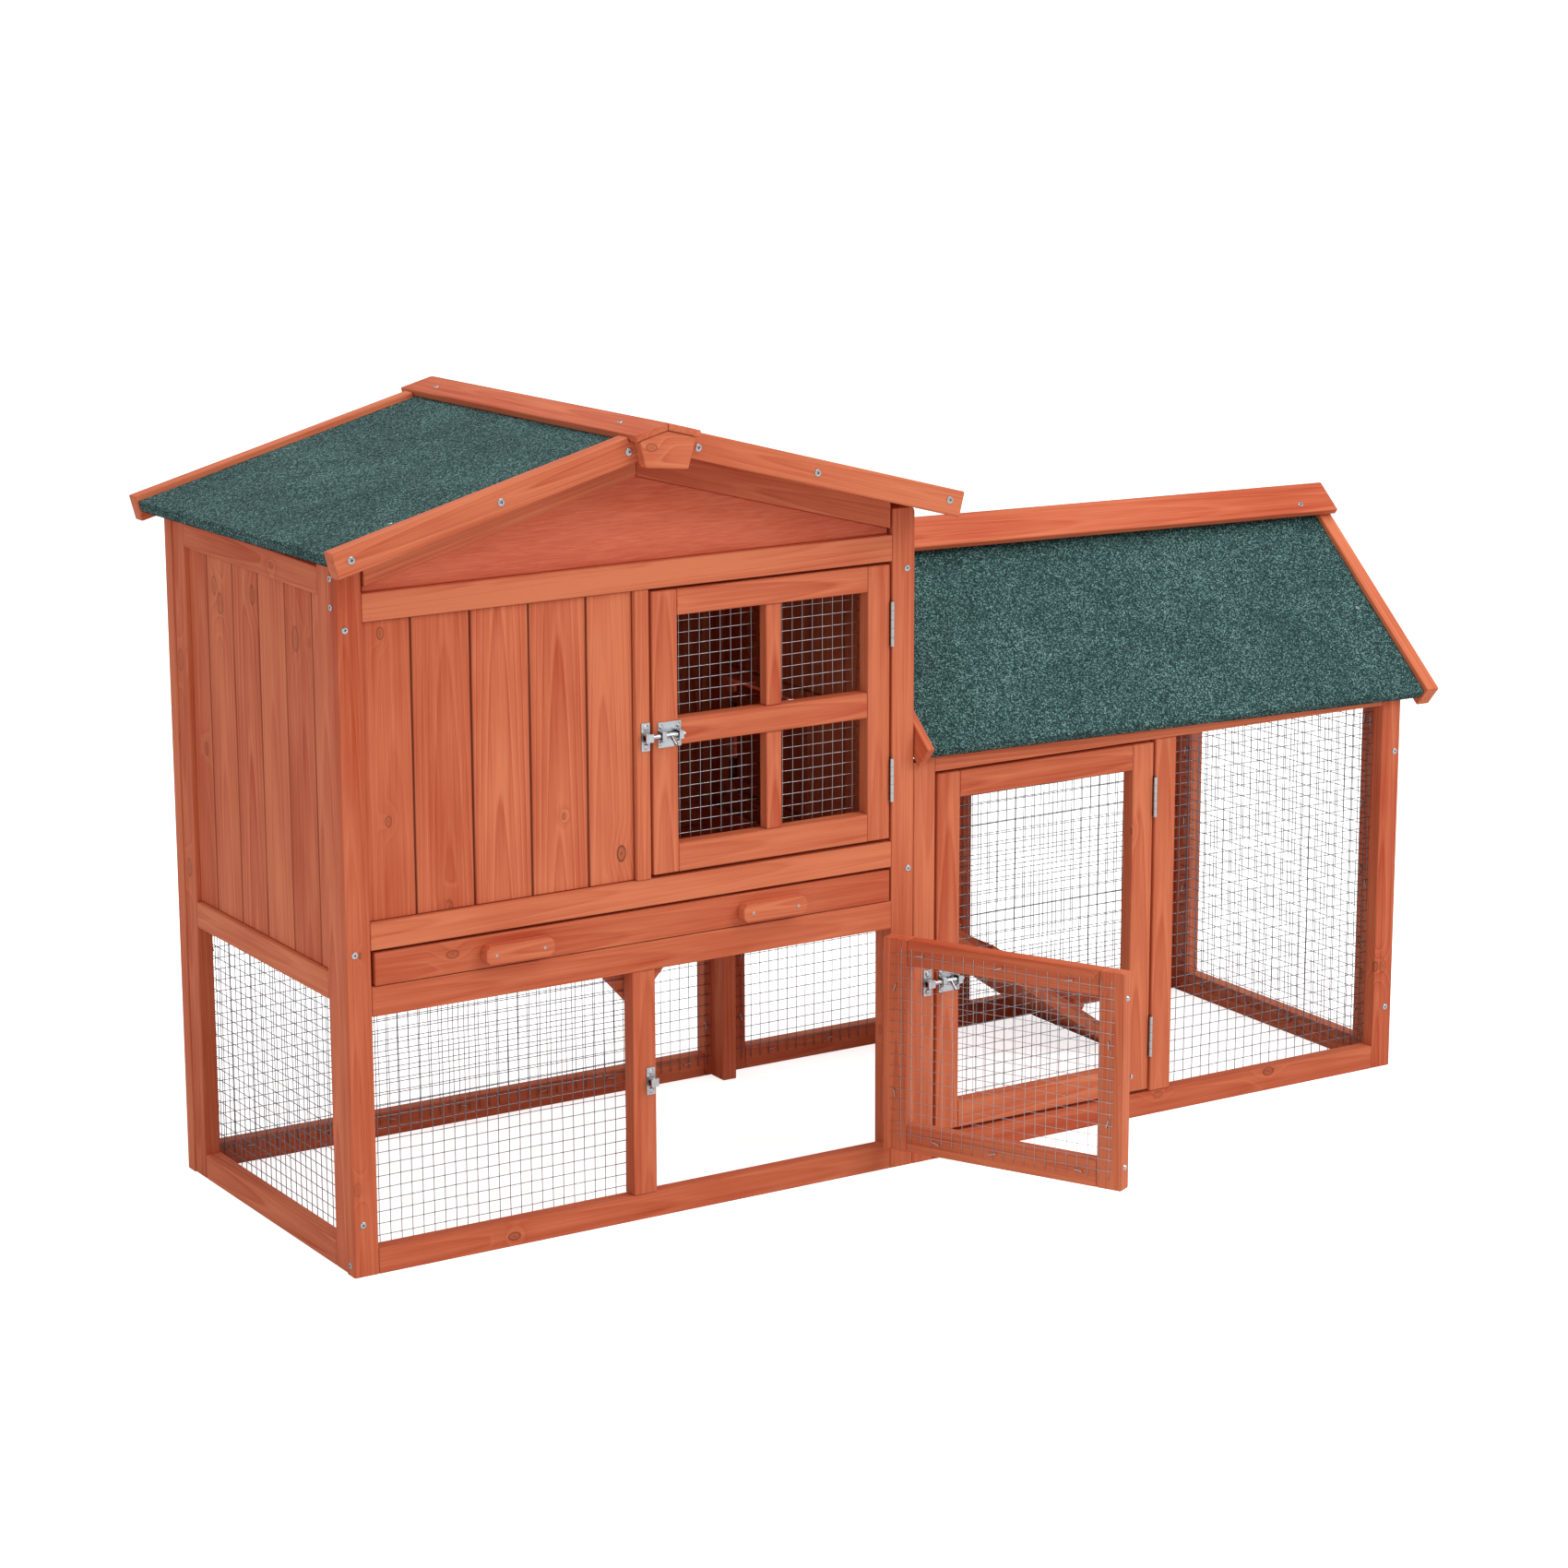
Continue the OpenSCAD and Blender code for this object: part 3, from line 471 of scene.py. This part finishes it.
def timber(name):
    """A CAD node's battens or boards with eased edges and a grain of their own each."""
    rng = random.Random(name)
    points, faces, grains, halves, kinds = [], [], [], [], []
    knot_rows = [[] for _ in range(KNOT_SLOTS)]
    given = TONES.get(name, [])
    for number, piece in enumerate(cad_pieces(name)):
        merge_flat(piece)
        piece.normal_update()
        axes = grain_frame(piece)
        reach = [[v.co.dot(d) for v in piece.verts] for d in axes]
        half = Vector([(max(r) - min(r)) / 2 for r in reach])
        middle = sum((d * (max(r) + min(r)) / 2 for d, r in zip(axes, reach)), Vector())

        def to_grain(p):
            return Vector([(p - middle).dot(d) for d in axes])

        knots = knots_of(name, piece, rng, to_grain)
        ease(piece, corner_edges(piece), EASED * rng.uniform(0.8, 1.2))
        tone, figured = rng.uniform(0.15, 0.85), rng.uniform(0.3, 0.9)
        if number < len(given):
            tone, figured = given[number]
        count = len(piece.verts)
        grains += [to_grain(v.co) for v in piece.verts]
        halves += [half] * count
        kinds += [(tone, figured, SEAM_SHADE.get(name, FAINT_SEAM_SHADE))] * count
        for row, knot in zip(knot_rows, knots):
            row += [knot] * count
        add_piece(points, faces, piece)
    obj = mesh_object(name + "_timber", points, faces, LOOK[SLOTS[name]])

    def vectors(label, rows):
        layer = obj.data.attributes.new(label, "FLOAT_VECTOR", "POINT")
        layer.data.foreach_set("vector", [c for row in rows for c in row])

    vectors("grain", grains)
    vectors("half", halves)
    vectors("board", kinds)
    for i, row in enumerate(knot_rows):
        vectors(f"knot{i}", [place for place, _, _ in row])
        vectors(f"knot{i}_kind", [(radius, dark, 0.0) for _, radius, dark in row])
    weighted(obj)
    stands_for(obj, name)


def felt(name):
    """The roofing felt: a slightly lumpy sheet turned down over the eave."""
    points, faces = [], []
    for piece in cad_pieces(name):
        merge_flat(piece)
        ease(piece, [e for e in corner_edges(piece) if e.is_convex], FELT_EASED)
        long_edges = [e for e in piece.edges if e.calc_length() > 0.2]
        bmesh.ops.subdivide_edges(piece, edges=long_edges, cuts=40, use_grid_fill=True)
        piece.normal_update()
        for v in piece.verts:
            lump = noise.noise(v.co * 45) * 0.5 + noise.noise(v.co * 140) * 0.5
            v.co += v.normal * 0.0005 * lump
        add_piece(points, faces, piece)
    obj = mesh_object(name + "_sheet", points, faces, FELT)
    weighted(obj)
    stands_for(obj, name)


# the wires' radius as a share of the CAD's, thinner on the bright new mesh of two of the doors
THIN, THINNER = 0.95, 0.66
BRIGHT = ("upper_door_mesh", "lower_door_mesh")
# sides of a wire, and the length of its steps in metres
WIRE_SIDES, WIRE_STEP = 6, 0.009
# without a seed of its own, noise_vector differs from run to run
noise.seed_set(5)


def sway(p):
    """How far a mesh wire near p strays from straight."""
    return noise.noise_vector(p * 13) * 0.0006 + noise.noise_vector(p * 50) * 0.00015


def wire_ends(piece):
    """The middles of a straight wire's two ends, and its radius."""
    middle = sum((v.co for v in piece.verts), Vector()) / len(piece.verts)
    far = max(piece.verts, key=lambda v: (v.co - middle).length).co - middle
    rims = [[v.co for v in piece.verts if (v.co - middle).dot(far) > 0],
            [v.co for v in piece.verts if (v.co - middle).dot(far) <= 0]]
    ends = [sum(rim, Vector()) / len(rim) for rim in rims]
    spread = sum((p - end).length for rim, end in zip(rims, ends) for p in rim)
    return ends, spread / len(piece.verts)


def wires(name, inward):
    """Welded mesh: every wire wanders a little, and both layers wander together."""
    points, faces, lines = [], [], []
    thin, look = (THINNER, BRIGHT_WIRE) if name in BRIGHT else (THIN, WIRE)
    for piece in cad_pieces(name):
        ends, radius = wire_ends(piece)
        piece.free()
        lines.append(ends)
        along = (ends[1] - ends[0]).normalized()
        side = along.cross(inward)
        steps = max(4, int((ends[1] - ends[0]).length / WIRE_STEP))
        base = len(points)
        for i in range(steps + 1):
            p = ends[0].lerp(ends[1], i / steps)
            off = sway(p)
            depth = abs(off.dot(inward)) * 0.7
            flat = off - inward * off.dot(inward)
            flat -= along * flat.dot(along)
            centre = p + flat + inward * depth
            for k in range(WIRE_SIDES):
                a = math.tau * k / WIRE_SIDES
                spoke = side * math.cos(a) + inward * math.sin(a)
                points.append(centre + spoke * radius * thin)
        for i in range(steps):
            here, there = base + i * WIRE_SIDES, base + (i + 1) * WIRE_SIDES
            for k in range(WIRE_SIDES):
                j = (k + 1) % WIRE_SIDES
                faces.append([here + k, here + j, there + j, there + k])
        faces.append([base + k for k in reversed(range(WIRE_SIDES))])
        faces.append([base + steps * WIRE_SIDES + k for k in range(WIRE_SIDES)])
    obj = mesh_object(name + "_wires", points, faces, look)
    stands_for(obj, name)
    staple_edges(name, inward, lines)


# staples, in metres: their spacing, how far in from the mesh's edge they are, how far their feet
# are from the outer wires' middles, half the crown's length, half the wire, and their height
STAPLE_PITCH, STAPLE_INSET, STAPLE_SUNK = 0.095, 0.006, 0.0007
CROWN_HALF, STAPLE_HALF, STAPLE_STAND = 0.0045, 0.0004, 0.0027


def staple_edges(name, inward, lines):
    """Staples round the mesh, a little way in from its edges."""
    up = Vector((0, 0, 1))
    over = up.cross(inward).normalized()
    ends = [p for pair in lines for p in pair]
    reach = [(min(p.dot(d) for p in ends), max(p.dot(d) for p in ends)) for d in (over, up)]
    plane = min(p.dot(inward) for p in ends) - STAPLE_SUNK
    rng = random.Random(name + "staples")
    spots = []
    for run, fixed, run_reach, fixed_reach in ((over, up, *reach), (up, over, *reach[::-1])):
        count = max(2, round((run_reach[1] - run_reach[0]) / STAPLE_PITCH))
        for edge, way in ((fixed_reach[0], 1), (fixed_reach[1], -1)):
            for i in range(count):
                share = (i + 0.5 + rng.uniform(-0.15, 0.15)) / count
                place = run * (run_reach[0] + share * (run_reach[1] - run_reach[0]))
                place += fixed * (edge + way * STAPLE_INSET) + inward * plane
                spots.append((place, run, inward))
    staples(name + "_staples", NODE_BODY[name], spots)


def bar(points, faces, centre, half, axes):
    """Adds a box to a mesh in the making."""
    base = len(points)
    for x in (-1, 1):
        for y in (-1, 1):
            for z in (-1, 1):
                points.append(centre + axes[0] * half[0] * x + axes[1] * half[1] * y
                              + axes[2] * half[2] * z)
    for f in ((0, 1, 3, 2), (4, 6, 7, 5), (0, 4, 5, 1), (2, 3, 7, 6), (0, 2, 6, 4), (1, 5, 7, 3)):
        faces.append([base + i for i in f])


def staples(name, body, spots):
    """Wire staples over the mesh edge. A spot is its place, its crown's line and the way it stands."""
    points, faces = [], []
    rng = random.Random(name)
    for place, line, out in spots:
        line = Matrix.Rotation(rng.uniform(-0.4, 0.4), 3, out) @ line
        axes = (line, out.cross(line), out)
        bar(points, faces, place + out * STAPLE_STAND, (CROWN_HALF, STAPLE_HALF, STAPLE_HALF),
            axes)
        for s in (-1, 1):
            leg = place + line * (CROWN_HALF - STAPLE_HALF) * s + out * STAPLE_STAND / 2
            bar(points, faces, leg, (STAPLE_HALF, STAPLE_HALF, STAPLE_STAND / 2), axes)
    obj = mesh_object(name, points, faces, ZINC, smooth=False)
    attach(obj, body)


# rings of a screw head: their radius as a share of the head's, their height, which HEAD_HIGH
# flattens, as another share of it, and whether they follow the cross
HEAD = [(1.0, 0.0, False), (1.0, 0.25, False), (0.86, 0.45, False), (0.5, 0.5, True),
        (0.36, -0.12, True)]
HEAD_HIGH = 0.55
HEAD_POINTS = 16
# how far out the ring's points lie round each of the cross's four arms
CROSS = [1.0, 0.62, 0.42, 0.62]


def screws(name, body, spots, replaced=None):
    """Countersunk screw heads with a crossed recess. A spot is its place, outward way, radius."""
    points, faces, recess = [], [], []
    rng = random.Random(name)
    for place, out, radius in spots:
        side = out.orthogonal().normalized()
        up = out.cross(side)
        turn = rng.uniform(0, math.tau)
        base = len(points)
        for wide, high, crossed in HEAD:
            for k in range(HEAD_POINTS):
                a = turn + math.tau * k / HEAD_POINTS
                spread = radius * wide * (CROSS[k % 4] if crossed else 1.0)
                points.append(place + (side * math.cos(a) + up * math.sin(a)) * spread
                              + out * (radius * high * HEAD_HIGH))
        for ring in range(len(HEAD) - 1):
            a = base + ring * HEAD_POINTS
            b = a + HEAD_POINTS
            for k in range(HEAD_POINTS):
                j = (k + 1) % HEAD_POINTS
                faces.append([a + k, a + j, b + j, b + k])
                recess.append(HEAD[ring][2])
        faces.append([base + (len(HEAD) - 1) * HEAD_POINTS + k for k in range(HEAD_POINTS)])
        recess.append(True)
    obj = mesh_object(name, points, faces, ZINC, smooth=False)
    # the faces of the cross recess take the dark colour: painted shade in the recess
    obj.data.materials.append(RECESS_SHADE)
    obj.data.polygons.foreach_set("material_index", [int(r) for r in recess])
    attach(obj, body)
    if replaced:
        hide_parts(replaced)


def hardware(name):
    """A metal CAD node keeps its own shape, with its edges eased."""
    obj = NODES[name]
    obj.data.materials.clear()
    obj.data.materials.append(ZINC)
    mod = obj.modifiers.new("eased", "BEVEL")
    mod.width = 0.0003
    mod.segments = 2
    mod.limit_method = "ANGLE"
    mod.angle_limit = math.radians(40)


# ---- build -----------------------------------------------------------------------------------

FRONT = Vector((0, 1, 0))
INWARD = {
    "house_front_mesh": FRONT, "house_back_mesh": -FRONT, "house_left_mesh": Vector((1, 0, 0)),
    "run_front_mesh": FRONT, "run_back_mesh": -FRONT, "run_right_mesh": Vector((-1, 0, 0)),
    "upper_door_mesh": FRONT, "run_door_mesh": FRONT,
    "lower_door_mesh": (SWUNG.to_3x3() @ FRONT).normalized(),
}
for name, slot in SLOTS.items():
    if slot in ("wood", "ply", "pan"):
        timber(name)
    elif slot == "felt":
        felt(name)
    elif slot == "wire":
        wires(name, INWARD[name])
    elif name != "frame_screws":
        hardware(name)

AHEAD, LEFT = -FRONT, Vector((-1, 0, 0))
# screws in millimetres: across and up on the front and on its bargeboards, back and up on the
# left side
front_screws = [(11, 56), (10, 342), (9, 675), (674, 672), (677, 340), (1362, 386), (1360, 74)]
barge_screws = [(-7, 751), (158, 794), (304, 833), (385, 831), (528, 794), (693, 752)]
side_screws = [(9, 12), (12, 697), (12, 726), (409, 12), (409, 700), (409, 726)]
# the ways out of the house's left slope and the run's front slope
house_up = Vector((-0.253, 0.021, 0.967)).normalized()
run_up = Vector((0.015, -0.643, 0.766)).normalized()
lean_turn = LEAN.to_3x3()
screws("panel_screws", "hutch",
       [(at(x, 0, z), AHEAD, 0.0036) for x, z in front_screws]
       + [(LEAN @ at(x, -52, z), lean_turn @ AHEAD, 0.004) for x, z in barge_screws]
       + [(at(0 if y < 20 else 1.5, y, z), LEFT, 0.0036) for y, z in side_screws], "frame_screws")
screws("cap_screws", "hutch", [(at(324, 1.4, 856.3), house_up, 0.0034),
                               (at(319.3, 399.7, 846.5), house_up, 0.0034),
                               (at(1361.4, 184.3, 652.7), run_up, 0.0036),
                               (at(1367.4, 80.5, 543.3), run_up, 0.0026),
                               (at(56, -11.4, 778.8), house_up, 0.0026)])
nails = [(at(x + end, -13, 322), AHEAD, 0.0017) for x in (152, 460) for end in (12, 68)]
screws("handle_nails", "tray", nails)

# ---- stage -----------------------------------------------------------------------------------

# the floor glows to the camera alone, so that it looks white but the glow lights nothing
bpy.ops.mesh.primitive_plane_add(size=400)
floor = bpy.context.object
floor.name = "floor"
pale, tree, shader = new_material("pale_floor")
shader.inputs["Base Color"].default_value = (0.8, 0.8, 0.8, 1)
shader.inputs["Roughness"].default_value = 1.0
shader.inputs["Specular IOR Level"].default_value = 0.0
glow = node(tree, "ShaderNodeEmission", inputs={"Color": (1, 1, 1, 1), "Strength": 0.8})
both = node(tree, "ShaderNodeAddShader", inputs={0: shader.outputs[0], 1: glow.outputs[0]})
direct = node(tree, "ShaderNodeLightPath").outputs["Is Camera Ray"]
surface = node(tree, "ShaderNodeMixShader",
               inputs={0: direct, 1: shader.outputs[0], 2: both.outputs[0]})
tree.links.new(surface.outputs[0], tree.nodes["Material Output"].inputs["Surface"])
floor.data.materials.append(pale)


MIDDLE = Vector((0, 0, 0.4))


def area_light(name, place, size, power):
    """A square light that shines at the middle of the hutch."""
    light = bpy.data.lights.new(name, "AREA")
    light.size = size
    light.energy = power
    obj = bpy.data.objects.new(name, light)
    bpy.context.scene.collection.objects.link(obj)
    obj.location = place
    obj.rotation_euler = (MIDDLE - Vector(place)).to_track_quat("-Z", "Y").to_euler()


area_light("key", (2.6, -3.6, 3.4), 2.6, 95)
area_light("top", (0.0, -0.6, 4.2), 3.0, 60)
area_light("fill", (-4.2, -2.0, 1.8), 2.6, 18)

# pale light from all round, and a white background to the camera
world = bpy.data.worlds.new("studio")
bpy.context.scene.world = world
world.use_nodes = True
w = world.node_tree
sky = w.nodes["Background"]
sky.inputs["Color"].default_value = (1, 1, 1, 1)
sky.inputs["Strength"].default_value = 0.62
bright = node(w, "ShaderNodeBackground", inputs={"Color": (1, 1, 1, 1), "Strength": 1.0})
seen = node(w, "ShaderNodeLightPath").outputs["Is Camera Ray"]
choose = node(w, "ShaderNodeMixShader", inputs={0: seen, 1: sky.outputs[0], 2: bright.outputs[0]})
w.links.new(choose.outputs[0], w.nodes["World Output"].inputs["Surface"])
bpy.context.scene.view_settings.view_transform = "Standard"

# the camera's turns, and its sensor and lens in millimetres
YAW, PITCH, ROLL = math.radians(31.896), math.radians(-13.408), math.radians(-0.145)
SENSOR, FOCAL = 36.0, 93.09
camera = bpy.data.cameras.new("camera")
camera.sensor_width = SENSOR
camera.lens = FOCAL
eye = bpy.data.objects.new("camera", camera)
bpy.context.scene.collection.objects.link(eye)
eye.location = at(-1695.8, -3557.6, 1453.3)
eye.rotation_euler = (Matrix.Rotation(-YAW, 3, "Z") @ Matrix.Rotation(math.pi / 2 + PITCH, 3, "X")
                      @ Matrix.Rotation(ROLL, 3, "Z")).to_euler()
bpy.context.scene.camera = eye
